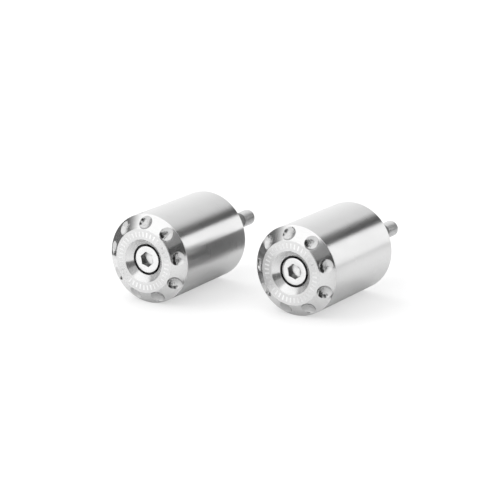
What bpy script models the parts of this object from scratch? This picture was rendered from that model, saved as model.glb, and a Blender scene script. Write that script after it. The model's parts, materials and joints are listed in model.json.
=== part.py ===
"""A pair of turned steel handlebar end weights, lying side by side on their round sides.

Each unit is a heavy turned weight with a through bore, an M6 socket cap screw whose head sits in a
counterbore behind a conical dish, a small washer under that head, and a nylon locking band round
the screw's thread. Nine round-bottomed dimples are sunk in the weight's front chamfer.

Each unit has an empty at the middle of its front face, on its axis. In the empty's frame +Z points
out of the front, +Y is up and depths run along -Z, so every screw turns and slides on the local Z.
"""

import math

import bmesh
import bpy
from mathutils import Matrix, Vector

MM = 0.001

# The weight, a turned bar end
WEIGHT_RADIUS = 16.5 * MM
WEIGHT_LENGTH = 43.6 * MM
RING_RADIUS = 11.75 * MM
CHAMFER_DEPTH = 3.84 * MM
DISH_RADIUS = 8.0 * MM
DISH_DEPTH = 2.25 * MM
COUNTERBORE_RADIUS = 5.75 * MM
BORE_RADIUS = 3.3 * MM
BORE_CHAMFER = 0.5 * MM
REAR_EDGE_BREAK = 0.3 * MM

# The dimples in its chamfer
DIMPLE_COUNT = 9
DIMPLE_BALL_RADIUS = 3.6 * MM
DIMPLE_HALF_LENGTH = 2.7 * MM
DIMPLE_TOWARDS_RING = 0.28 * MM

# The M6 x 65 socket cap screw
HEAD_RADIUS = 5.0 * MM
HEAD_HEIGHT = 6.0 * MM
HEAD_EDGE_BREAK = 0.25 * MM
SHANK_RADIUS = 3.0 * MM
SHANK_LENGTH = 65.0 * MM
THREAD_ROOT_RADIUS = 2.4 * MM
TIP_CHAMFER = 0.6 * MM
HEX_ACROSS_FLATS = 5.0 * MM
HEX_DEPTH = 3.0 * MM
HEX_TURN = math.radians(-12.0)
HEX_MOUTH_RADIUS = 3.05 * MM
HEX_MOUTH_CHAMFER = 0.35 * MM

# The washer under the head and the locking band on the thread
WASHER_RADIUS = 5.5 * MM
WASHER_HOLE_RADIUS = 3.25 * MM
WASHER_THICKNESS = 1.6 * MM
BAND_START = 56.0 * MM
BAND_LENGTH = 10.0 * MM
TOUCHING_GAP = 0.3 * MM

# Depths behind the weight's front face
HEAD_FACE_DEPTH = DISH_DEPTH
UNDER_HEAD_DEPTH = HEAD_FACE_DEPTH + HEAD_HEIGHT
WASHER_FRONT_DEPTH = UNDER_HEAD_DEPTH + TOUCHING_GAP
COUNTERBORE_DEPTH = WASHER_FRONT_DEPTH + WASHER_THICKNESS + TOUCHING_GAP
TIP_DEPTH = UNDER_HEAD_DEPTH + SHANK_LENGTH

# How the second unit lies beside the first
RIGHT_OFFSET_X = 53.04 * MM
RIGHT_OFFSET_Y = 13.69 * MM
RIGHT_YAW = math.radians(1.89)
LEFT_DIMPLE_PHASE = 0.0
RIGHT_DIMPLE_PHASE = math.radians(-7.5)

WEIGHT_STEPS = 64
DIMPLE_SEGMENTS = 24
DIMPLE_RINGS = 16
SCREW_STEPS = 32
SHARP_ANGLE = math.radians(25.0)
CUTTER_OVERSHOOT = 1.0 * MM

STEEL = ("turned_steel", (0.78, 0.78, 0.77), 0.16, 1.0)
SCREW_STEEL = ("screw_steel", (0.74, 0.74, 0.73), 0.28, 1.0)
WASHER_STEEL = ("washer_steel", (0.62, 0.62, 0.62), 0.35, 1.0)
NYLON = ("locking_nylon", (0.13, 0.13, 0.135), 0.6, 0.0)


def clear_scene():
    for old in list(bpy.data.objects):
        bpy.data.objects.remove(old, do_unlink=True)


def new_collection(name):
    collection = bpy.data.collections.new(name)
    bpy.context.scene.collection.children.link(collection)
    return collection


def make_material(name, colour, roughness, metallic):
    material = bpy.data.materials.new(name)
    material.use_nodes = True
    shader = material.node_tree.nodes["Principled BSDF"]
    shader.inputs["Base Color"].default_value = (*colour, 1.0)
    shader.inputs["Roughness"].default_value = roughness
    shader.inputs["Metallic"].default_value = metallic
    return material


def turned(name, profile, closed, steps, collection):
    """Object turned about its Z axis from (radius, depth) points, run down its outer side."""
    mesh = bpy.data.meshes.new(name)
    outline = bmesh.new()
    points = [outline.verts.new((radius, 0.0, -depth)) for radius, depth in profile]
    for start, end in zip(points, points[1:]):
        outline.edges.new((start, end))
    if closed:
        outline.edges.new((points[-1], points[0]))
    outline.to_mesh(mesh)
    outline.free()
    body = bpy.data.objects.new(name, mesh)
    collection.objects.link(body)
    screw = body.modifiers.new("turning", "SCREW")
    screw.axis = "Z"
    screw.angle = math.tau
    screw.steps = steps
    screw.render_steps = steps
    screw.use_merge_vertices = True
    screw.merge_threshold = 0.00001
    return body


def cutter_object(name, cutter_mesh, collection):
    mesh = bpy.data.meshes.new(name)
    cutter_mesh.to_mesh(mesh)
    cutter_mesh.free()
    cutter = bpy.data.objects.new(name, mesh)
    collection.objects.link(cutter)
    hide_cutter(cutter)
    return cutter


def hide_cutter(cutter):
    cutter.hide_render = True
    cutter.display_type = "WIRE"


def cut(body, cutter):
    boolean = body.modifiers.new("cut_" + cutter.name, "BOOLEAN")
    boolean.operation = "DIFFERENCE"
    boolean.solver = "EXACT"
    boolean.object = cutter


def finish(body, material, unit):
    """Makes the modifiers' result the body's own mesh, shades it and puts it in its unit."""
    bpy.context.view_layer.update()
    evaluated = body.evaluated_get(bpy.context.evaluated_depsgraph_get())
    mesh = bpy.data.meshes.new_from_object(evaluated)
    body.modifiers.clear()
    body.data = mesh
    mesh.name = body.name
    mesh.materials.clear()
    mesh.materials.append(material)
    mesh.shade_smooth()
    mesh.set_sharp_from_angle(angle=SHARP_ANGLE)
    body.parent = unit


def dimple_cutter(name, phase, collection):
    """Balls sunk along the chamfer's normal, evenly round the weight, angles clockwise from up."""
    slant = Vector((WEIGHT_RADIUS - RING_RADIUS, CHAMFER_DEPTH))
    along = slant.normalized()
    normal = Vector((along.y, -along.x))
    spot = Vector((RING_RADIUS, 0.0)) + along * (slant.length / 2 - DIMPLE_TOWARDS_RING)
    centre = spot + normal * math.sqrt(DIMPLE_BALL_RADIUS**2 - DIMPLE_HALF_LENGTH**2)
    balls = bmesh.new()
    tilt = Matrix.Rotation(-math.atan2(normal.x, -normal.y), 4, "X")
    for index in range(DIMPLE_COUNT):
        angle = phase + math.tau * index / DIMPLE_COUNT
        place = (
            Matrix.Rotation(-angle, 4, "Z")
            @ Matrix.Translation((0.0, centre.x, -centre.y))
            @ tilt
        )
        bmesh.ops.create_uvsphere(
            balls,
            u_segments=DIMPLE_SEGMENTS,
            v_segments=DIMPLE_RINGS,
            radius=DIMPLE_BALL_RADIUS,
            matrix=place,
        )
    return cutter_object(name, balls, collection)


def make_weight(side, phase, material, unit, parts, cutters):
    profile = [
        (COUNTERBORE_RADIUS, DISH_DEPTH),
        (DISH_RADIUS, 0.0),
        (RING_RADIUS, 0.0),
        (WEIGHT_RADIUS, CHAMFER_DEPTH),
        (WEIGHT_RADIUS, WEIGHT_LENGTH - REAR_EDGE_BREAK),
        (WEIGHT_RADIUS - REAR_EDGE_BREAK, WEIGHT_LENGTH),
        (BORE_RADIUS + BORE_CHAMFER, WEIGHT_LENGTH),
        (BORE_RADIUS, WEIGHT_LENGTH - BORE_CHAMFER),
        (BORE_RADIUS, COUNTERBORE_DEPTH),
        (COUNTERBORE_RADIUS, COUNTERBORE_DEPTH),
    ]
    weight = turned(side + "_weight", profile, True, WEIGHT_STEPS, parts)
    cut(weight, dimple_cutter(side + "_dimple_cutter", phase, cutters))
    finish(weight, material, unit)


def hex_cutter(name, collection):
    """Six-sided prism, with a flat-to-flat size of HEX_ACROSS_FLATS, open past the head's face."""
    prism = bmesh.new()
    height = HEX_DEPTH + CUTTER_OVERSHOOT
    middle = -HEAD_FACE_DEPTH - HEX_DEPTH + height / 2
    bmesh.ops.create_cone(
        prism,
        cap_ends=True,
        segments=6,
        radius1=HEX_ACROSS_FLATS / math.sqrt(3.0),
        radius2=HEX_ACROSS_FLATS / math.sqrt(3.0),
        depth=height,
        matrix=Matrix.Translation((0.0, 0.0, middle)) @ Matrix.Rotation(-HEX_TURN, 4, "Z"),
    )
    return cutter_object(name, prism, collection)


def mouth_cutter(name, collection):
    """Cone that breaks the hexagon's corners at its mouth."""
    reach = HEX_MOUTH_RADIUS - HEX_MOUTH_CHAMFER
    profile = [
        (0.0, HEAD_FACE_DEPTH - CUTTER_OVERSHOOT),
        (HEX_MOUTH_RADIUS + CUTTER_OVERSHOOT, HEAD_FACE_DEPTH - CUTTER_OVERSHOOT),
        (reach, HEAD_FACE_DEPTH + HEX_MOUTH_CHAMFER),
        (0.0, HEAD_FACE_DEPTH + HEX_MOUTH_CHAMFER),
    ]
    cutter = turned(name, profile, False, SCREW_STEPS, collection)
    hide_cutter(cutter)
    return cutter


def make_cap_screw(side, material, unit, parts, cutters):
    band_groove_start = BAND_START - TOUCHING_GAP
    band_groove_end = BAND_START + BAND_LENGTH + TOUCHING_GAP
    profile = [
        (0.0, HEAD_FACE_DEPTH),
        (HEAD_RADIUS - HEAD_EDGE_BREAK, HEAD_FACE_DEPTH),
        (HEAD_RADIUS, HEAD_FACE_DEPTH + HEAD_EDGE_BREAK),
        (HEAD_RADIUS, UNDER_HEAD_DEPTH - HEAD_EDGE_BREAK),
        (HEAD_RADIUS - HEAD_EDGE_BREAK, UNDER_HEAD_DEPTH),
        (SHANK_RADIUS, UNDER_HEAD_DEPTH),
        (SHANK_RADIUS, band_groove_start),
        (THREAD_ROOT_RADIUS, band_groove_start),
        (THREAD_ROOT_RADIUS, band_groove_end),
        (SHANK_RADIUS, band_groove_end),
        (SHANK_RADIUS, TIP_DEPTH - TIP_CHAMFER),
        (SHANK_RADIUS - TIP_CHAMFER, TIP_DEPTH),
        (0.0, TIP_DEPTH),
    ]
    screw = turned(side + "_cap_screw", profile, False, SCREW_STEPS, parts)
    cut(screw, hex_cutter(side + "_hex_cutter", cutters))
    cut(screw, mouth_cutter(side + "_mouth_cutter", cutters))
    finish(screw, material, unit)


def make_ring(name, inner, outer, start, length, material, unit, parts):
    profile = [
        (inner, start),
        (outer, start),
        (outer, start + length),
        (inner, start + length),
    ]
    ring = turned(name, profile, True, SCREW_STEPS, parts)
    finish(ring, material, unit)


def make_unit(side, place, yaw, phase, materials, parts, cutters):
    unit = bpy.data.objects.new(side + "_unit", None)
    unit.empty_display_size = WEIGHT_RADIUS
    unit.location = place
    unit.rotation_euler = (math.pi / 2, 0.0, -yaw)
    parts.objects.link(unit)
    steel, screw_steel, washer_steel, nylon = materials
    make_weight(side, phase, steel, unit, parts, cutters)
    make_cap_screw(side, screw_steel, unit, parts, cutters)
    make_ring(
        side + "_washer",
        WASHER_HOLE_RADIUS,
        WASHER_RADIUS,
        WASHER_FRONT_DEPTH,
        WASHER_THICKNESS,
        washer_steel,
        unit,
        parts,
    )
    make_ring(
        side + "_thread_lock_band",
        THREAD_ROOT_RADIUS + TOUCHING_GAP,
        SHANK_RADIUS,
        BAND_START,
        BAND_LENGTH,
        nylon,
        unit,
        parts,
    )


def left_front_centre():
    """Place of the left unit that puts the pair's box over the origin."""
    rear = WEIGHT_LENGTH - REAR_EDGE_BREAK
    reach_x = RIGHT_OFFSET_X + rear * math.sin(RIGHT_YAW) + WEIGHT_RADIUS * math.cos(RIGHT_YAW)
    tip_radius = SHANK_RADIUS - TIP_CHAMFER
    reach_y = RIGHT_OFFSET_Y + TIP_DEPTH * math.cos(RIGHT_YAW) + tip_radius * math.sin(RIGHT_YAW)
    return Vector(((WEIGHT_RADIUS - reach_x) / 2, -reach_y / 2, WEIGHT_RADIUS))


def main():
    clear_scene()
    parts = new_collection("handlebar_end_weights")
    cutters = new_collection("cutters")
    materials = [make_material(*spec) for spec in (STEEL, SCREW_STEEL, WASHER_STEEL, NYLON)]
    left = left_front_centre()
    right = left + Vector((RIGHT_OFFSET_X, RIGHT_OFFSET_Y, 0.0))
    make_unit("left", left, 0.0, LEFT_DIMPLE_PHASE, materials, parts, cutters)
    make_unit("right", right, RIGHT_YAW, RIGHT_DIMPLE_PHASE, materials, parts, cutters)


main()
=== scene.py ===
import json
import math

import bmesh
import bpy
from mathutils import Matrix, Vector


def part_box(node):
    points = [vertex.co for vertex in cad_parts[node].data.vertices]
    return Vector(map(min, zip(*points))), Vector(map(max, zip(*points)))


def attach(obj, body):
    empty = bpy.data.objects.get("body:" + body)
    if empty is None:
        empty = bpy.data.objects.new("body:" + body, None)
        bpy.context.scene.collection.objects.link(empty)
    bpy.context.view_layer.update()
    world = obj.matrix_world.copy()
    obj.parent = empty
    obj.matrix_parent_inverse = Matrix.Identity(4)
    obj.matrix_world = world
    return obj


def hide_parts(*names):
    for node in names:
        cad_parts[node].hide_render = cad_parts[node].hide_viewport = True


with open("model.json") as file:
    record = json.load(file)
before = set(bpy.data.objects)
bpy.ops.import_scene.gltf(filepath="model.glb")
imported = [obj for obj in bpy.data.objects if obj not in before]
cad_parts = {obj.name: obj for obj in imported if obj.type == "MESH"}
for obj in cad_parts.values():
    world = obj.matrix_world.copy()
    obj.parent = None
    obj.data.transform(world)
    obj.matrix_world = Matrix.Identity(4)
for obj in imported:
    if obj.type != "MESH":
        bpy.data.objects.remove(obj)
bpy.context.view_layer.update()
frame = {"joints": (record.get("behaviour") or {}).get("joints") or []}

MM = 0.001
SIDES = ("left", "right")

# Shapes that repeat the CAD solids, in metres
RING_RADIUS = 11.75 * MM
CHAMFER_DEPTH = 3.84 * MM
DISH_RADIUS = 8.0 * MM
DISH_DEPTH = 2.25 * MM
COUNTERBORE_RADIUS = 5.75 * MM
COUNTERBORE_DEPTH = 10.45 * MM
BORE_RADIUS = 3.3 * MM
BORE_CHAMFER = 0.5 * MM
REAR_EDGE_BREAK = 0.3 * MM
DIMPLE_COUNT = 9
DIMPLE_RADIUS = 2.7 * MM
DIMPLE_BALL_RADIUS = 3.6 * MM
DIMPLE_WALL_RISE = 0.7
DIMPLE_TOWARDS_RING = 0.28 * MM
DIMPLE_PHASES = {"left": 0.0, "right": math.radians(-7.5)}
WASHER_HOLE_RADIUS = 3.25 * MM
HEAD_RADIUS = 5.0 * MM
HEAD_HEIGHT = 6.0 * MM
SHANK_RADIUS = 3.0 * MM
THREAD_PITCH = 1.0 * MM
THREAD_DEPTH = 0.6 * MM
THREAD_START = 49.25 * MM
THREAD_RUNOUT = 1.0 * MM
THREAD_CREST_SHARE = 0.16
THREAD_ROOT_SHARE = 0.2
TIP_CHAMFER = 0.45 * MM
TIP_FACE_INSET = 0.1 * MM
BAND_ROOT_RADIUS = 2.4 * MM
BAND_INNER_RADIUS = 2.7 * MM
BAND_GAP = 0.1 * MM
HEX_ACROSS_FLATS = 5.0 * MM
HEX_DEPTH = 3.0 * MM
HEX_TURN = math.radians(-11.25)

# Details of the screw, washer and band that the CAD solids are too coarse for
HEAD_FLAT_RADIUS = 4.2 * MM
HEAD_FRONT_STEPS = ((0.3 * MM, 0.0), (0.12 * MM, 0.08 * MM), (0.05 * MM, 0.25 * MM))
KNURL_DEPTH = 0.09 * MM
KNURL_FRONT_GAP = 0.7 * MM
KNURL_REAR_GAP = 0.5 * MM
HEAD_REAR_INSET = 0.25 * MM
SOCKET_MOUTH_RADIUS = 2.92 * MM
SOCKET_MOUTH_SLOPE = 0.3
SOCKET_FLOOR_RADIUS = 2.1 * MM
SOCKET_FLOOR_DROP = 0.05 * MM
DRILL_POINT_RADIUS = 0.2 * MM
DRILL_POINT_DROP = 0.9 * MM
GROOVE_END_WALL = 0.05 * MM
BAND_TAPER_DEPTH = 0.08 * MM
BAND_TAPER_LENGTH = 0.2 * MM
BAND_ECHO_DEPTH = 0.02 * MM
WASHER_EDGE_BREAK = 0.15 * MM

# Material slots after each piece's first one
DIMPLE_SLOT = 1
THREAD_SLOT = 1
SOCKET_SLOT = 2

# How finely the visible meshes are made
SECTOR_COLUMNS = 36
SLANT_STEPS = 14
BOWL_RINGS = 16
SKIRT_SHARES = (0.08, 0.3, 0.62)
BISECTIONS = 32
EDGE_BREAK = 0.07 * MM
EDGE_SEGMENTS = 3
SHARP_ANGLE = math.radians(18.0)
SMOOTH_LIMIT = math.radians(32.0)
SCREW_COLUMNS = 96
THREAD_ROWS_PER_PITCH = 14
THREAD_ROW_STEP = THREAD_PITCH / THREAD_ROWS_PER_PITCH
BAND_ROWS = 60

# Chatter in the dimples: lines round each one as (count, height, phase)
CHATTER_HEIGHT = 0.022 * MM
CHATTER_WAVES = ((17, 1.0, 0.0), (11, 0.6, 1.0))

# Marks and wear in the materials
TICK_COUNT = 40
TICK_WIDTH = 0.7 * MM
TICK_INNER_RADIUS = 8.95 * MM
TICK_OUTER_RADIUS = 10.85 * MM
TICK_SOFTNESS = 0.08 * MM
TICK_FACE_FADE = (-0.2 * MM, -0.1 * MM)
RING_FACE_FADE = (-0.3 * MM, -0.1 * MM)
EDGE_WEAR_WIDTH = 0.22 * MM
LATHE_MARK_PERIOD = 0.22 * MM
LATHE_MARK_DRIFT = 0.05
NOISE_SPAN = (0.3, 0.7)
PATCH_SPAN = (0.35, 0.6)
HANDLING_SPAN = (0.35, 0.65)

# Greys and roughnesses: a pair is the range that the noise moves in
TURNED_GREY = (0.614, 0.626)
TURNED_ROUGHNESS = (0.285, 0.31)
TURNED_BUMP = 0.0015 * MM
ANISOTROPY = 0.9
ANISOTROPY_TURN = 0.25
LATHE_MARK_GREY = 0.012
LATHE_MARK_ROUGHNESS = 0.02
SLOPE_POLISH = 0.26
WORN_GREY = 0.74
WORN_ROUGHNESS = 0.4
TICK_GREY = 0.92
TICK_ROUGHNESS = 0.6
STEEL_GREY_SPREAD = 0.03
STEEL_GRAIN_ROUGHNESS = 0.06
STEEL_HANDLING_ROUGHNESS = 0.03
THREAD_CREST_GREY = (0.58, 0.66)
THREAD_CREST_ROUGHNESS = 0.32
# Thread roots painted dark as shade in the grooves
THREAD_ROOT_SHADE_GREY = 0.26
THREAD_ROOT_ROUGHNESS = 0.5
THREAD_GRAIN_ROUGHNESS = 0.05
THREAD_CREST_START = 0.4 * MM
THREAD_CREST_END = 0.04 * MM
THREAD_BUMP = 0.005 * MM
NYLON_GREY = (0.08, 0.12)
NYLON_ROUGHNESS = (0.42, 0.6)
NYLON_RUNS_WEIGHT = 2.0
NYLON_BUMP = 0.02 * MM

# The camera's place: azimuth and elevation of the way back from its target
VIEW_AZIMUTH = math.radians(31.0)
VIEW_ELEVATION = math.radians(15.62)
VIEW_DISTANCE = 0.7166
VIEW_LENS = 140.9
VIEW_SENSOR_WIDTH = 36.0
VIEW_CLIP_START = 0.01
VIEW_CLIP_END = 50.0
VIEW_TARGET_OFFSET = Vector((25.24 * MM, 32.28 * MM, 0.0))


def turn_joint(side):
    """Record of a unit's screw hinge."""
    return next(j for j in frame["joints"] if j["name"] == side + "_screw_turn")


def unit_matrix(side):
    """Unit's own frame: origin mid front face, +Z out of the front, +Y up, depths along -Z."""
    joint = turn_joint(side)
    front = -Vector(joint["axis"]).normalized()
    up = Vector((0.0, 0.0, 1.0))
    right = up.cross(front)
    rotation = Matrix((right, up, front)).transposed().to_4x4()
    return Matrix.Translation(joint["pos_m"]) @ rotation


WEIGHT_RADIUS = (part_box("left_weight")[1].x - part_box("left_weight")[0].x) / 2
WEIGHT_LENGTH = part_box("left_weight")[1].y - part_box("left_weight")[0].y
FRONT_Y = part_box("left_weight")[0].y
TIP_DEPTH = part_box("left_cap_screw")[1].y - FRONT_Y
HEAD_FACE_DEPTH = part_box("left_cap_screw")[0].y - FRONT_Y
UNDER_HEAD_DEPTH = HEAD_FACE_DEPTH + HEAD_HEIGHT
BAND_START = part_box("left_thread_lock_band")[0].y - FRONT_Y
BAND_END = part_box("left_thread_lock_band")[1].y - FRONT_Y
WASHER_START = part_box("left_washer")[0].y - FRONT_Y
WASHER_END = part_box("left_washer")[1].y - FRONT_Y
WASHER_RADIUS = (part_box("left_washer")[1].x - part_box("left_washer")[0].x) / 2
CHAMFER_WIDTH = WEIGHT_RADIUS - RING_RADIUS
CHAMFER_SLANT = math.hypot(CHAMFER_WIDTH, CHAMFER_DEPTH)
DIMPLE_SLANT = CHAMFER_SLANT / 2 - DIMPLE_TOWARDS_RING


# ---------------------------------------------------------------- mesh helpers


def polar(radius, depth, angle):
    """Point in a unit's frame. Angles run clockwise from up, seen from the front."""
    return Vector((radius * math.sin(angle), radius * math.cos(angle), -depth))


def ring_of(mesh, radius, depth, angles):
    """Row of vertices round the axis."""
    return [mesh.verts.new(polar(radius, depth, angle)) for angle in angles]


def bridge(mesh, first, second, material_index=0):
    """Faces between two closed rows with the same number of points."""
    count = len(first)
    for index in range(count):
        after = (index + 1) % count
        corners = (first[index], first[after], second[after], second[index])
        mesh.faces.new(corners).material_index = material_index


def bridge_rows(mesh, rows, material_index=0):
    """Faces between each row and the next."""
    for first, second in zip(rows, rows[1:]):
        bridge(mesh, first, second, material_index)


def whole_turn(count, start=0.0):
    """Evenly spaced angles round the axis."""
    return [start + math.tau * index / count for index in range(count)]


def piece_from(mesh, name, side, body, node, material, edge_break=EDGE_BREAK):
    """Object from a bmesh in unit space, with softened edges, riding on its CAD body."""
    bmesh.ops.recalc_face_normals(mesh, faces=mesh.faces)
    data = bpy.data.meshes.new(name)
    mesh.to_mesh(data)
    mesh.free()
    piece = bpy.data.objects.new(name, data)
    bpy.context.scene.collection.objects.link(piece)
    piece.matrix_world = unit_matrix(side)
    data.materials.append(material)
    data.shade_smooth()
    if edge_break:
        bevel = piece.modifiers.new("edge_break", "BEVEL")
        bevel.width = edge_break
        bevel.segments = EDGE_SEGMENTS
        bevel.limit_method = "ANGLE"
        bevel.angle_limit = SHARP_ANGLE
        bevel.harden_normals = True
        bevel.use_clamp_overlap = True
    else:
        data.set_sharp_from_angle(angle=SMOOTH_LIMIT)
    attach(piece, side + "_" + body)
    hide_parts(side + "_" + node)
    return piece


# ---------------------------------------------------------------- the weight


def chamfer_point(angle, slant):
    """Point on the front chamfer, slant metres down it from the ring's edge."""
    share = slant / CHAMFER_SLANT
    return polar(RING_RADIUS + CHAMFER_WIDTH * share, CHAMFER_DEPTH * share, angle)


def chamfer_normal(angle):
    """Way out of the front chamfer at an angle."""
    return polar(CHAMFER_DEPTH / CHAMFER_SLANT, -CHAMFER_WIDTH / CHAMFER_SLANT, angle)


def bowl_height(radius):
    """Height of a dimple's wall over the chamfer, at a radius from the dimple's own axis."""
    if radius > DIMPLE_RADIUS:
        return (radius - DIMPLE_RADIUS) * DIMPLE_WALL_RISE
    rim_rise = math.sqrt(DIMPLE_BALL_RADIUS**2 - DIMPLE_RADIUS**2)
    return rim_rise - math.sqrt(DIMPLE_BALL_RADIUS**2 - radius**2)


def chatter(bearing, share):
    """Height of the cutter's chatter lines, which run from a dimple's middle to its rim."""
    waves = sum(size * math.cos(count * bearing + phase) for count, size, phase in CHATTER_WAVES)
    return CHATTER_HEIGHT * waves * math.sin(math.pi * share)


def rim_share(turn, slant):
    """Share of the way from a dimple's middle to a sector's edge where the dimple ends.

    The sector is the one whose middle is straight up; turn and slant say where its edge point is.
    """
    centre = chamfer_point(0.0, DIMPLE_SLANT)
    axis = chamfer_normal(0.0)
    inside, outside = 0.0, 1.0
    for _ in range(BISECTIONS):
        middle = (inside + outside) / 2
        point = chamfer_point(turn * middle, DIMPLE_SLANT + (slant - DIMPLE_SLANT) * middle)
        height = (point - centre).dot(axis)
        if bowl_height((point - centre - axis * height).length) < height:
            inside = middle
        else:
            outside = middle
    return inside


def sector_loop(front_row, rear_row, seam, next_seam, first):
    """Corner-to-corner loop of a sector's edge vertices, with each one's turn and slant."""
    half = math.pi / DIMPLE_COUNT
    count = len(front_row)
    step = 2 * half / SECTOR_COLUMNS
    loop = []
    for index in range(SECTOR_COLUMNS + 1):
        loop.append((front_row[(first + index) % count], -half + step * index, 0.0))
    for index, vertex in enumerate(next_seam):
        loop.append((vertex, half, CHAMFER_SLANT * (index + 1) / SLANT_STEPS))
    for index in range(SECTOR_COLUMNS, -1, -1):
        loop.append((rear_row[(first + index) % count], -half + step * index, CHAMFER_SLANT))
    for index in range(len(seam) - 1, -1, -1):
        loop.append((seam[index], -half, CHAMFER_SLANT * (index + 1) / SLANT_STEPS))
    return loop


def dimple_in_sector(mesh, loop, angle):
    """Chamfer skirt from the sector's edge to the dimple's rim, then the bowl inside it."""
    centre = chamfer_point(angle, DIMPLE_SLANT)
    axis = chamfer_normal(angle)
    outer = [vertex for vertex, _, _ in loop]
    rims = [rim_share(turn, slant) for _, turn, slant in loop]
    for skirt in (*reversed(SKIRT_SHARES), 0.0):
        row = []
        for (_, turn, slant), rim in zip(loop, rims):
            share = rim + (1.0 - rim) * skirt
            place = DIMPLE_SLANT + (slant - DIMPLE_SLANT) * share
            row.append(mesh.verts.new(chamfer_point(angle + turn * share, place)))
        bridge(mesh, outer, row)
        outer = row
    flat = [vertex.co - centre for vertex in outer]
    reaches = [reach - axis * reach.dot(axis) for reach in flat]
    down = (chamfer_point(angle, CHAMFER_SLANT) - centre).normalized()
    across = axis.cross(down)
    for ring in range(BOWL_RINGS - 1, 0, -1):
        row = []
        for reach in reaches:
            share = ring / BOWL_RINGS
            spot = reach * share
            bearing = math.atan2(reach.dot(across), reach.dot(down))
            height = bowl_height(spot.length) + chatter(bearing, share)
            row.append(mesh.verts.new(centre + spot + axis * height))
        bridge(mesh, outer, row, DIMPLE_SLOT)
        outer = row
    middle = mesh.verts.new(centre + axis * bowl_height(0.0))
    for index, vertex in enumerate(outer):
        corners = (vertex, outer[(index + 1) % len(outer)], middle)
        mesh.faces.new(corners).material_index = DIMPLE_SLOT


def make_weight(side, material, dimple_material):
    """Turned body: bore, counterbore, dish and ring, the dimpled chamfer, then the outside."""
    mesh = bmesh.new()
    columns = SECTOR_COLUMNS * DIMPLE_COUNT
    phase = DIMPLE_PHASES[side]
    angles = whole_turn(columns, phase - math.pi / DIMPLE_COUNT)
    inner_profile = [
        (BORE_RADIUS, COUNTERBORE_DEPTH),
        (COUNTERBORE_RADIUS, COUNTERBORE_DEPTH),
        (COUNTERBORE_RADIUS, DISH_DEPTH),
        (DISH_RADIUS, 0.0),
        ((DISH_RADIUS + RING_RADIUS) / 2, 0.0),
        (RING_RADIUS, 0.0),
    ]
    rear_profile = [
        (WEIGHT_RADIUS, CHAMFER_DEPTH),
        (WEIGHT_RADIUS, WEIGHT_LENGTH / 2),
        (WEIGHT_RADIUS, WEIGHT_LENGTH - REAR_EDGE_BREAK),
        (WEIGHT_RADIUS - REAR_EDGE_BREAK, WEIGHT_LENGTH),
        (BORE_RADIUS + BORE_CHAMFER, WEIGHT_LENGTH),
        (BORE_RADIUS, WEIGHT_LENGTH - BORE_CHAMFER),
    ]
    front_rows = [ring_of(mesh, radius, depth, angles) for radius, depth in inner_profile]
    rear_rows = [ring_of(mesh, radius, depth, angles) for radius, depth in rear_profile]
    bridge_rows(mesh, front_rows)
    bridge_rows(mesh, rear_rows)
    bridge(mesh, rear_rows[-1], front_rows[0])
    seams = []
    for sector in range(DIMPLE_COUNT):
        seam_angle = angles[sector * SECTOR_COLUMNS]
        slants = [CHAMFER_SLANT * step / SLANT_STEPS for step in range(1, SLANT_STEPS)]
        seams.append([mesh.verts.new(chamfer_point(seam_angle, slant)) for slant in slants])
    for sector in range(DIMPLE_COUNT):
        next_seam = seams[(sector + 1) % DIMPLE_COUNT]
        first = sector * SECTOR_COLUMNS
        loop = sector_loop(front_rows[-1], rear_rows[0], seams[sector], next_seam, first)
        dimple_in_sector(mesh, loop, phase + math.tau * sector / DIMPLE_COUNT)
    piece = piece_from(
        mesh, side + "_weight_turned", side, "weight", "weight", material
    )
    # Second material for the bowls: steel painted darker as shade in the hollows
    piece.data.materials.append(dimple_material)


# ---------------------------------------------------------------- the screw


def thread_radius(depth, angle):
    """Radius of the M6 thread's surface, a right-hand helix with flat crests."""
    position = (depth / THREAD_PITCH + angle / math.tau) % 1.0
    flank = abs(position - 0.5) * 2.0
    height = (flank - THREAD_ROOT_SHARE) / (1.0 - THREAD_CREST_SHARE - THREAD_ROOT_SHARE)
    height = min(max(height, 0.0), 1.0)
    runout = min(max((depth - THREAD_START) / THREAD_RUNOUT, 0.0), 1.0)
    cut = THREAD_DEPTH * (1.0 - height) * runout
    radius = SHANK_RADIUS - cut
    tip_limit = SHANK_RADIUS - TIP_CHAMFER + max(TIP_DEPTH - depth, 0.0)
    return min(radius, tip_limit)


def thread_rows(mesh, start, end, angles):
    """Rows of the thread's surface from one depth until another."""
    rows = []
    depth = start
    while depth < end:
        rows.append([mesh.verts.new(polar(thread_radius(depth, a), depth, a)) for a in angles])
        depth += THREAD_ROW_STEP
    return rows


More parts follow.
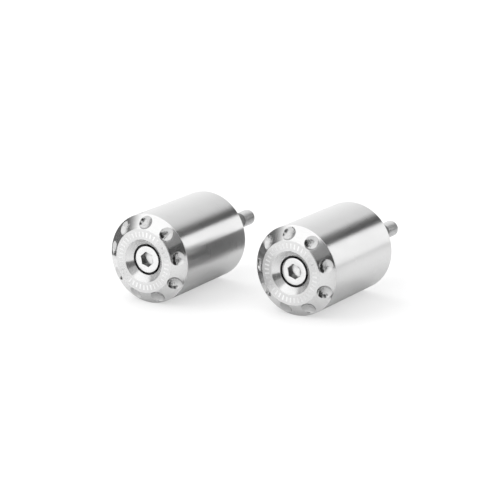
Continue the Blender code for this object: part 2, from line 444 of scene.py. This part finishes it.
def make_cap_screw(side, material, thread_root_shade_material, socket_material):
    """Knurled head with its socket, plain shank, then the thread with the band's groove in it."""
    mesh = bmesh.new()
    angles = whole_turn(SCREW_COLUMNS)
    groove_start = BAND_START - BAND_GAP
    groove_end = BAND_END + BAND_GAP
    head_side = [HEAD_RADIUS - KNURL_DEPTH * (index % 2) for index in range(SCREW_COLUMNS)]
    rows = [ring_of(mesh, HEAD_FLAT_RADIUS, HEAD_FACE_DEPTH, angles)]
    for inset, drop in HEAD_FRONT_STEPS:
        rows.append(ring_of(mesh, HEAD_RADIUS - inset, HEAD_FACE_DEPTH + drop, angles))
    for depth in (HEAD_FACE_DEPTH + KNURL_FRONT_GAP, UNDER_HEAD_DEPTH - KNURL_REAR_GAP):
        pairs = zip(head_side, angles)
        rows.append([mesh.verts.new(polar(radius, depth, angle)) for radius, angle in pairs])
    rows.append(ring_of(mesh, HEAD_RADIUS - HEAD_REAR_INSET, UNDER_HEAD_DEPTH, angles))
    rows.append(ring_of(mesh, SHANK_RADIUS, UNDER_HEAD_DEPTH, angles))
    thread = [ring_of(mesh, SHANK_RADIUS, THREAD_START, angles)]
    rows.append(thread[0])
    thread += thread_rows(mesh, THREAD_START + THREAD_ROW_STEP, groove_start, angles)
    thread.append(ring_of(mesh, BAND_ROOT_RADIUS, groove_start, angles))
    thread.append(ring_of(mesh, BAND_ROOT_RADIUS, groove_end - GROOVE_END_WALL, angles))
    thread += thread_rows(mesh, groove_end, TIP_DEPTH, angles)
    tip_radius = SHANK_RADIUS - TIP_CHAMFER - TIP_FACE_INSET
    thread.append(ring_of(mesh, tip_radius, TIP_DEPTH, angles))
    bridge_rows(mesh, rows)
    bridge_rows(mesh, thread, THREAD_SLOT)
    mesh.faces.new(thread[-1]).material_index = THREAD_SLOT
    socket(mesh, rows[0], angles)
    piece = piece_from(
        mesh,
        side + "_cap_screw_m6",
        side,
        "screw",
        "cap_screw",
        material,
        edge_break=0.0,
    )
    piece.data.materials.append(thread_root_shade_material)
    piece.data.materials.append(socket_material)


def hex_radius(angle):
    """Distance from the axis to the socket's wall in a direction."""
    sector = math.tau / 6
    offset = (angle - HEX_TURN) % sector
    return HEX_ACROSS_FLATS / 2 / math.cos(offset - sector / 2)


def socket(mesh, face_row, angles):
    """Hexagon socket inside the head's face: a round mouth chamfer, flat walls, drilled floor."""
    mouth = ring_of(mesh, SOCKET_MOUTH_RADIUS, HEAD_FACE_DEPTH, angles)
    rows = [face_row, mouth]
    walls_top = []
    walls_end = []
    walls_end_depth = HEAD_FACE_DEPTH + HEX_DEPTH
    for angle in angles:
        radius = hex_radius(angle)
        drop = (SOCKET_MOUTH_RADIUS - radius) * SOCKET_MOUTH_SLOPE
        walls_top.append(mesh.verts.new(polar(radius, HEAD_FACE_DEPTH + drop, angle)))
        walls_end.append(mesh.verts.new(polar(radius, walls_end_depth, angle)))
    rows.append(walls_top)
    floor_depth = walls_end_depth + SOCKET_FLOOR_DROP
    floor = [walls_end, ring_of(mesh, SOCKET_FLOOR_RADIUS, floor_depth, angles)]
    point_depth = walls_end_depth + DRILL_POINT_DROP
    floor.append(ring_of(mesh, DRILL_POINT_RADIUS, point_depth, angles))
    bridge_rows(mesh, rows)
    # The flat walls take the third material, painted dark as shade inside the socket
    bridge(mesh, walls_top, walls_end, SOCKET_SLOT)
    bridge_rows(mesh, floor)
    mesh.faces.new(list(reversed(floor[-1])))


# ---------------------------------------------------------------- washer and band


def make_ring(side, name, body, node, profile, material, edge_break):
    """Closed ring turned from a profile of (radius, depth) points."""
    mesh = bmesh.new()
    angles = whole_turn(SCREW_COLUMNS)
    rows = [ring_of(mesh, radius, depth, angles) for radius, depth in profile]
    bridge_rows(mesh, rows)
    bridge(mesh, rows[-1], rows[0])
    piece_from(mesh, side + name, side, body, node, material, edge_break)


def make_washer(side, material):
    """Plain washer under the head, its edges rounded by the punch."""
    profile = [
        (WASHER_HOLE_RADIUS, WASHER_START),
        (WASHER_RADIUS, WASHER_START),
        (WASHER_RADIUS, WASHER_END),
        (WASHER_HOLE_RADIUS, WASHER_END),
    ]
    make_ring(
        side,
        "_washer_stamped",
        "washer",
        "washer",
        profile,
        material,
        WASHER_EDGE_BREAK,
    )


def make_band(side, material):
    """Locking coat: tapered ends and a faint echo of the thread that it fills."""
    profile = [(BAND_INNER_RADIUS, BAND_START)]
    for row in range(BAND_ROWS + 1):
        depth = BAND_START + (BAND_END - BAND_START) * row / BAND_ROWS
        ends = min(depth - BAND_START, BAND_END - depth)
        taper = BAND_TAPER_DEPTH * max(0.0, 1.0 - ends / BAND_TAPER_LENGTH) ** 2
        echo = BAND_ECHO_DEPTH * (1.0 + math.cos(math.tau * depth / THREAD_PITCH)) / 2
        profile.append((SHANK_RADIUS - taper - echo, depth))
    profile.append((BAND_INNER_RADIUS, BAND_END))
    make_ring(
        side,
        "_thread_lock_coat",
        "screw",
        "thread_lock_band",
        profile,
        material,
        0.0,
    )


# ---------------------------------------------------------------- shader helpers


def add_node(tree, kind, inputs=None, **settings):
    """New shader node with its own settings, then values or links for its inputs."""
    node = tree.nodes.new(kind)
    for name, value in settings.items():
        setattr(node, name, value)
    for key, value in (inputs or {}).items():
        if isinstance(value, bpy.types.NodeSocket):
            tree.links.new(value, node.inputs[key])
        else:
            node.inputs[key].default_value = value
    return node


def maths(tree, operation, *values):
    """Result of a Math node."""
    return add_node(tree, "ShaderNodeMath", dict(enumerate(values)), operation=operation).outputs[0]


def ramp(tree, value, start, end, low=0.0, high=1.0):
    """Smooth step from low to high as value goes from start to end."""
    inputs = {"Value": value, "From Min": start, "From Max": end, "To Min": low, "To Max": high}
    node = add_node(tree, "ShaderNodeMapRange", inputs, interpolation_type="SMOOTHSTEP")
    return node.outputs["Result"]


def window(tree, value, first, last, soft):
    """1 from first to last, falling smoothly to 0 over a softness centred on each."""
    opening = ramp(tree, value, first - soft / 2, first + soft / 2)
    closing = ramp(tree, value, last - soft / 2, last + soft / 2, 1.0, 0.0)
    return maths(tree, "MULTIPLY", opening, closing)


def blend_number(tree, share, first, second):
    """First where share is 0, second where it is 1."""
    inputs = {0: share, 2: first, 3: second}
    return add_node(tree, "ShaderNodeMix", inputs, data_type="FLOAT").outputs[0]


def noise(tree, vector, scale, detail, roughness):
    """Value of a noise texture, mostly within NOISE_SPAN."""
    inputs = {"Vector": vector, "Scale": scale, "Detail": detail, "Roughness": roughness}
    return add_node(tree, "ShaderNodeTexNoise", inputs).outputs[0]


# ---------------------------------------------------------------- materials


def new_material(name, colour, roughness, metallic):
    """Material with its node tree and shader, holding the mean values before any node is linked."""
    material = bpy.data.materials.new(name)
    material.use_nodes = True
    nodes = material.node_tree.nodes
    shader = nodes["Principled BSDF"]
    shader.inputs["Base Color"].default_value = (*colour, 1.0)
    shader.inputs["Roughness"].default_value = roughness
    shader.inputs["Metallic"].default_value = metallic
    return material, material.node_tree, shader


def unit_place(tree):
    """Shading point in its unit's frame: vector, radius, height along the axis, clockwise angle."""
    place = add_node(tree, "ShaderNodeTexCoord").outputs["Object"]
    x, y, z = add_node(tree, "ShaderNodeSeparateXYZ", {0: place}).outputs
    radius = maths(tree, "SQRT", maths(tree, "MULTIPLY_ADD", x, x, maths(tree, "MULTIPLY", y, y)))
    return place, radius, z, maths(tree, "ARCTAN2", x, y)


def lathe_marks(tree, radius, height, angle, period):
    """Fine rings round the axis that change slowly on their way round."""
    drift = maths(tree, "MULTIPLY", angle, LATHE_MARK_DRIFT * period)
    place = add_node(tree, "ShaderNodeCombineXYZ", {0: radius, 1: height, 2: drift}).outputs[0]
    return noise(tree, place, scale=1.0 / period, detail=3.0, roughness=0.6)


def near_edge(tree, radius, height, edge_radius, edge_depth):
    """1 on a turned edge, falling to 0 a wear width away from it."""
    across = maths(tree, "SUBTRACT", radius, edge_radius)
    along = maths(tree, "ADD", height, edge_depth)
    squares = maths(tree, "MULTIPLY_ADD", across, across, maths(tree, "MULTIPLY", along, along))
    return ramp(tree, maths(tree, "SQRT", squares), 0.0, EDGE_WEAR_WIDTH, 1.0, 0.0)


def edge_wear(tree, place, radius, height, edges):
    """Worn patches along a list of (radius, depth) edges."""
    wear = 0.0
    for edge_radius, edge_depth in edges:
        edge = near_edge(tree, radius, height, edge_radius, edge_depth)
        wear = maths(tree, "MAXIMUM", wear, edge)
    patches = noise(tree, place, scale=700.0, detail=3.0, roughness=0.6)
    return maths(tree, "MULTIPLY", wear, ramp(tree, patches, *PATCH_SPAN))


def tick_marks(tree, radius, height, angle):
    """1 on the evenly spaced etched ticks of the front ring."""
    pitch = math.tau / TICK_COUNT
    turn = maths(tree, "WRAP", angle, pitch / 2, -pitch / 2)
    aside = maths(tree, "MULTIPLY", maths(tree, "ABSOLUTE", turn), radius)
    tick = ramp(tree, aside, TICK_WIDTH / 2 - TICK_SOFTNESS, TICK_WIDTH / 2, 1.0, 0.0)
    begins = ramp(tree, radius, TICK_INNER_RADIUS, TICK_INNER_RADIUS + TICK_SOFTNESS)
    ends = ramp(tree, radius, TICK_OUTER_RADIUS - TICK_SOFTNESS, TICK_OUTER_RADIUS, 1.0, 0.0)
    front = ramp(tree, height, *TICK_FACE_FADE)
    tick = maths(tree, "MULTIPLY", tick, maths(tree, "MULTIPLY", begins, ends))
    return maths(tree, "MULTIPLY", tick, front)


def set_grey(tree, shader, value):
    """Neutral base colour from a single value."""
    colour = add_node(tree, "ShaderNodeCombineColor", {0: value, 1: value, 2: value}).outputs[0]
    tree.links.new(colour, shader.inputs["Base Color"])


def set_bump(tree, shader, height, distance):
    """Fine relief, distance metres high."""
    inputs = {"Height": height, "Distance": distance, "Strength": 1.0}
    tree.links.new(add_node(tree, "ShaderNodeBump", inputs).outputs[0], shader.inputs["Normal"])


def turned_steel():
    """Steel off the lathe: fine rings around the axis, which smear reflections along it."""
    material, tree, shader = new_material(
        "turned_steel_fine", colour=(0.62, 0.62, 0.62), roughness=0.3, metallic=1.0
    )
    shader.inputs["Anisotropic"].default_value = ANISOTROPY
    shader.inputs["Anisotropic Rotation"].default_value = ANISOTROPY_TURN
    tangent = add_node(tree, "ShaderNodeTangent", direction_type="RADIAL", axis="Z")
    tree.links.new(tangent.outputs[0], shader.inputs["Tangent"])
    place, radius, height, angle = unit_place(tree)
    marks = lathe_marks(tree, radius, height, angle, LATHE_MARK_PERIOD)
    handling = noise(tree, place, scale=160.0, detail=4.0, roughness=0.6)
    edges = [
        (COUNTERBORE_RADIUS, DISH_DEPTH),
        (DISH_RADIUS, 0.0),
        (RING_RADIUS, 0.0),
        (WEIGHT_RADIUS, CHAMFER_DEPTH),
        (WEIGHT_RADIUS, WEIGHT_LENGTH),
    ]
    wear = edge_wear(tree, place, radius, height, edges)
    ticks = tick_marks(tree, radius, height, angle)
    grey = ramp(tree, handling, *NOISE_SPAN, *TURNED_GREY)
    shift = ramp(tree, marks, *NOISE_SPAN, -LATHE_MARK_GREY, LATHE_MARK_GREY)
    grey = blend_number(tree, wear, maths(tree, "ADD", grey, shift), WORN_GREY)
    set_grey(tree, shader, blend_number(tree, ticks, grey, TICK_GREY))
    rough = ramp(tree, handling, *NOISE_SPAN, *TURNED_ROUGHNESS)
    shift = ramp(tree, marks, *NOISE_SPAN, -LATHE_MARK_ROUGHNESS, LATHE_MARK_ROUGHNESS)
    rough = maths(tree, "ADD", rough, shift)
    chamfer_end = -CHAMFER_DEPTH - EDGE_WEAR_WIDTH
    slopes = ramp(tree, height, chamfer_end, -CHAMFER_DEPTH, 0.0, SLOPE_POLISH)
    flats = ramp(tree, height, *RING_FACE_FADE, 0.0, SLOPE_POLISH)
    slopes = maths(tree, "SUBTRACT", slopes, flats)
    rough = maths(tree, "MULTIPLY", rough, maths(tree, "SUBTRACT", 1.0, slopes))
    rough = blend_number(tree, wear, rough, WORN_ROUGHNESS)
    tree.links.new(blend_number(tree, ticks, rough, TICK_ROUGHNESS), shader.inputs["Roughness"])
    set_bump(tree, shader, maths(tree, "SUBTRACT", marks, ticks), TURNED_BUMP)
    return material


def steel_material(name, grey, roughness, metal_grain, bump_height):
    """Steel with fine grain and handling marks round the mean grey and roughness."""
    material, tree, shader = new_material(name, (grey, grey, grey), roughness, metallic=1.0)
    place = add_node(tree, "ShaderNodeTexCoord").outputs["Object"]
    grain = noise(tree, place, scale=1.0 / metal_grain, detail=3.0, roughness=0.65)
    handling = noise(tree, place, scale=350.0, detail=4.0, roughness=0.6)
    spread = (grey - STEEL_GREY_SPREAD, grey + STEEL_GREY_SPREAD)
    set_grey(tree, shader, ramp(tree, handling, *NOISE_SPAN, *spread))
    spread = (roughness - STEEL_GRAIN_ROUGHNESS, roughness + STEEL_GRAIN_ROUGHNESS)
    rough = ramp(tree, grain, *NOISE_SPAN, *spread)
    spread = (-STEEL_HANDLING_ROUGHNESS, STEEL_HANDLING_ROUGHNESS)
    rough = maths(tree, "ADD", rough, ramp(tree, handling, *HANDLING_SPAN, *spread))
    tree.links.new(rough, shader.inputs["Roughness"])
    set_bump(tree, shader, grain, bump_height)
    return material


def thread_material():
    """Rolled thread: crests at the steel's own grey over rougher roots painted darker as shade in
    the grooves.
    """
    material, tree, shader = new_material(
        "screw_steel_rolled_root_shade", colour=(0.6, 0.6, 0.6), roughness=0.35, metallic=1.0
    )
    place, radius, _, _ = unit_place(tree)
    grain = noise(tree, place, scale=5000.0, detail=3.0, roughness=0.65)
    crest = ramp(tree, radius, SHANK_RADIUS - THREAD_CREST_START, SHANK_RADIUS - THREAD_CREST_END)
    crest_grey = ramp(tree, grain, *NOISE_SPAN, *THREAD_CREST_GREY)
    set_grey(tree, shader, blend_number(tree, crest, THREAD_ROOT_SHADE_GREY, crest_grey))
    shift = ramp(tree, grain, *NOISE_SPAN, -THREAD_GRAIN_ROUGHNESS, THREAD_GRAIN_ROUGHNESS)
    rough = blend_number(tree, crest, THREAD_ROOT_ROUGHNESS, THREAD_CREST_ROUGHNESS)
    tree.links.new(maths(tree, "ADD", shift, rough), shader.inputs["Roughness"])
    set_bump(tree, shader, grain, THREAD_BUMP)
    return material


def nylon_material():
    """Locking coat: dark, slightly grainy nylon with shallow runs."""
    material, tree, shader = new_material(
        "locking_nylon_dark", colour=(0.13, 0.13, 0.135), roughness=0.5, metallic=0.0
    )
    place = add_node(tree, "ShaderNodeTexCoord").outputs["Object"]
    grain = noise(tree, place, scale=6000.0, detail=3.0, roughness=0.6)
    runs = noise(tree, place, scale=900.0, detail=2.0, roughness=0.5)
    set_grey(tree, shader, ramp(tree, runs, *NOISE_SPAN, *NYLON_GREY))
    rough = ramp(tree, grain, *NOISE_SPAN, *NYLON_ROUGHNESS)
    tree.links.new(rough, shader.inputs["Roughness"])
    relief = maths(tree, "MULTIPLY_ADD", runs, NYLON_RUNS_WEIGHT, grain)
    set_bump(tree, shader, relief, NYLON_BUMP)
    return material


# ---------------------------------------------------------------- studio and camera

FLOOR_REACH = 4.0
FLOOR_GLOW = 0.55
CARD_OFF_FLOOR = 0.0004
# Size of the dark reflection-only cards that stand in for shade seen in the dimples
DIMPLE_SHADE_CARD_DEPTH = 0.011
DIMPLE_SHADE_CARD_WIDTH = 0.009
DIMPLE_SHADE_CARD_HEIGHT = 0.021
OVERHEAD_CARD_HALF_WIDTH = Vector((0.895, 0.0, -0.447)) * 0.058

# The room seen in the steel: roll is the angle about the object's length, 0 overhead and 90 to the
# right, and rear goes from -1 in front to 1 behind. A later area lies over the ones before it.
ROOM_LIGHT = 1.3
FLOOR_LIGHT = 1.15
BACKGROUND_LIGHT = 1.0
ROOM_AREAS = (
    # roll from, to, softness, rear from, to, softness, light
    (-62, 16, 20, -0.95, 0.35, 0.10, 1.6),
    (-30, 50, 60, 0.50, 1.20, 0.20, 0.95),
    (39, 96, 6, 0.50, 1.20, 0.12, 1.9),
    (18, 55, 4, -1.20, -0.61, 0.08, 0.17),
    (55, 96, 4, -1.20, -0.60, 0.08, 0.0),
    (22, 66, 24, -0.61, -0.32, 0.10, 1.15),
    (58, 96, 16, -0.60, -0.32, 0.10, 0.38),
    (22, 96, 8, -0.32, 0.50, 0.12, 0.03),
    (-140, -58, 28, -0.42, 0.38, 0.15, 0.13),
)


def make_floor():
    """White floor that seems a little brighter to the camera than the light on it."""
    mesh = bpy.data.meshes.new("studio_floor")
    signs = ((-1, -1), (1, -1), (1, 1), (-1, 1))
    corners = [(x * FLOOR_REACH, y * FLOOR_REACH, 0.0) for x, y in signs]
    mesh.from_pydata(corners, [], [(0, 1, 2, 3)])
    floor = bpy.data.objects.new("studio_floor", mesh)
    bpy.context.scene.collection.objects.link(floor)
    material, tree, shader = new_material(
        "floor_white", colour=(0.86, 0.86, 0.86), roughness=0.9, metallic=0.0
    )
    shader.inputs["Specular IOR Level"].default_value = 0.0
    seen = add_node(tree, "ShaderNodeLightPath").outputs["Is Camera Ray"]
    glow = add_node(tree, "ShaderNodeEmission", {"Strength": 1.0}).outputs[0]
    share = maths(tree, "MULTIPLY", seen, FLOOR_GLOW)
    inputs = {0: share, 1: shader.outputs[0], 2: glow}
    lit = add_node(tree, "ShaderNodeMixShader", inputs).outputs[0]
    tree.links.new(lit, tree.nodes["Material Output"].inputs["Surface"])
    mesh.materials.append(material)


def make_card(name, corners, grey=0.02):
    """Dark studio card that only the steel's reflections show."""
    mesh = bpy.data.meshes.new(name)
    mesh.from_pydata(corners, [], [(0, 1, 2, 3)])
    card = bpy.data.objects.new(name, mesh)
    bpy.context.scene.collection.objects.link(card)
    material, _, shader = new_material(
        name + "_card", colour=(grey, grey, grey), roughness=1.0, metallic=0.0
    )
    shader.inputs["Specular IOR Level"].default_value = 0.0
    mesh.materials.append(material)
    card.visible_camera = False
    card.visible_diffuse = False
    card.visible_shadow = False


def make_standing_card(name, x, front, back, foot, top, **look):
    """Card that stands along the objects' length."""
    corners = [(x, front, foot), (x, back, foot), (x, back, top), (x, front, top)]
    make_card(name, corners, **look)


def make_overhead_card(x, z, front, back):
    """Long black strip behind and above, whose reflection runs along each round side."""
    across = OVERHEAD_CARD_HALF_WIDTH
    near, far = Vector((x, front, z)), Vector((x, back, z))
    make_card("studio_flag_overhead", [near - across, near + across, far + across, far - across])


def make_dimple_shade_cards(side, x, front):
    """Small dark angle right of a unit's front, seen mostly by the dimples' left walls: painted
    shade, dark sheets standing in for the floor's shadow and the hollows' shade.
    """
    rear = front + DIMPLE_SHADE_CARD_DEPTH
    inner = x - DIMPLE_SHADE_CARD_WIDTH
    name = "studio_shade_card_standing_" + side
    make_standing_card(name, x, front, rear, foot=0.0, top=DIMPLE_SHADE_CARD_HEIGHT)
    outline = ((inner, front), (x, front), (x, rear), (inner, rear))
    lying = [(across, along, CARD_OFF_FLOOR) for across, along in outline]
    make_card("studio_shade_card_lying_" + side, lying)


def make_lamp(name, place, size, watts):
    """Soft lamp aimed at the pair, which lights the floor and stays out of the reflections."""
    data = bpy.data.lights.new(name, "AREA")
    data.size = size
    data.energy = watts
    lamp = bpy.data.objects.new(name, data)
    bpy.context.scene.collection.objects.link(lamp)
    lamp.location = place
    lamp.rotation_mode = "QUATERNION"
    lamp.rotation_quaternion = (-Vector(place)).to_track_quat("-Z", "Y")
    lamp.visible_glossy = False


def make_world():
    """Graded room for the steel, an even light for the floor and white for the camera."""
    world = bpy.data.worlds.new("studio")
    world.use_nodes = True
    tree = world.node_tree
    coordinates = add_node(tree, "ShaderNodeTexCoord").outputs["Generated"]
    right, rear, up = add_node(tree, "ShaderNodeSeparateXYZ", {0: coordinates}).outputs
    roll = maths(tree, "MULTIPLY", maths(tree, "ARCTAN2", right, up), math.degrees(1.0))
    light = ROOM_LIGHT
    for first, last, soft, front, back, fade, level in ROOM_AREAS:
        around = window(tree, roll, first, last, soft)
        share = maths(tree, "MULTIPLY", around, window(tree, rear, front, back, fade))
        light = blend_number(tree, share, light, level)
    ray = add_node(tree, "ShaderNodeLightPath").outputs
    light = blend_number(tree, ray["Is Diffuse Ray"], light, FLOOR_LIGHT)
    light = blend_number(tree, ray["Is Camera Ray"], light, BACKGROUND_LIGHT)
    background = tree.nodes["Background"]
    background.inputs["Color"].default_value = (1.0, 1.0, 1.0, 1.0)
    tree.links.new(light, background.inputs["Strength"])
    bpy.context.scene.world = world


def make_camera():
    """Long lens aimed between the units."""
    target = Vector(turn_joint("left")["pos_m"]) + VIEW_TARGET_OFFSET
    back = Vector(
        (
            math.sin(VIEW_AZIMUTH) * math.cos(VIEW_ELEVATION),
            -math.cos(VIEW_AZIMUTH) * math.cos(VIEW_ELEVATION),
            math.sin(VIEW_ELEVATION),
        )
    )
    data = bpy.data.cameras.new("camera")
    data.lens = VIEW_LENS
    data.sensor_width = VIEW_SENSOR_WIDTH
    data.clip_start = VIEW_CLIP_START
    data.clip_end = VIEW_CLIP_END
    camera = bpy.data.objects.new("camera", data)
    bpy.context.scene.collection.objects.link(camera)
    camera.location = target + back * VIEW_DISTANCE
    camera.rotation_mode = "QUATERNION"
    camera.rotation_quaternion = (-back).to_track_quat("-Z", "Y")
    bpy.context.scene.camera = camera


make_camera()
make_floor()
make_standing_card(
    "studio_flag_left", x=-0.079, front=-0.055, back=0.02, foot=0.004, top=0.045, grey=0.14
)
# Reflection-only grey card between the units: painted shade standing in for the shadowed gap
# between them
make_standing_card(
    "studio_shade_card_middle", x=0.001, front=-0.022, back=0.03, foot=0.004, top=0.0225, grey=0.16
)
make_overhead_card(x=0.1445, z=0.2433, front=0.15, back=0.8)
# Dark cards by each unit's front, painted shade for the dimples' reflections
make_dimple_shade_cards("left", x=0.001, front=-0.048)
make_dimple_shade_cards("right", x=0.054, front=-0.035)
make_lamp("key_lamp", place=(-0.5, 0.3, 0.9), size=0.7, watts=3.1)
make_lamp("fill_lamp", place=(-0.6, -0.5, 0.6), size=0.8, watts=3.0)
make_world()
bpy.context.scene.view_settings.view_transform = "Standard"

weight_steel = turned_steel()
# Dimple bowls: steel painted darker than the body as shade in the hollows, with a milled grain and
# roughness
dimple_shade_steel = steel_material(
    "dimple_steel_milled", grey=0.5, roughness=0.2, metal_grain=0.12 * MM, bump_height=0.002 * MM
)
# Thread steel: roots painted dark as shade in the grooves, crests at the steel's grey
thread_steel_root_shade = thread_material()
# Socket walls: steel painted dark as shade inside the hex socket
socket_shade_steel = steel_material(
    "socket_steel_painted_shade", grey=0.27, roughness=0.35, metal_grain=0.1 * MM, bump_height=0.004 * MM
)
screw_steel = steel_material(
    "screw_steel_satin", grey=0.72, roughness=0.25, metal_grain=0.1 * MM, bump_height=0.003 * MM
)
washer_steel = steel_material(
    "washer_steel_stamped", grey=0.5, roughness=0.35, metal_grain=0.2 * MM, bump_height=0.006 * MM
)
nylon = nylon_material()
for side in SIDES:
    make_weight(side, weight_steel, dimple_shade_steel)
    make_cap_screw(side, screw_steel, thread_steel_root_shade, socket_shade_steel)
    make_washer(side, washer_steel)
    make_band(side, nylon)
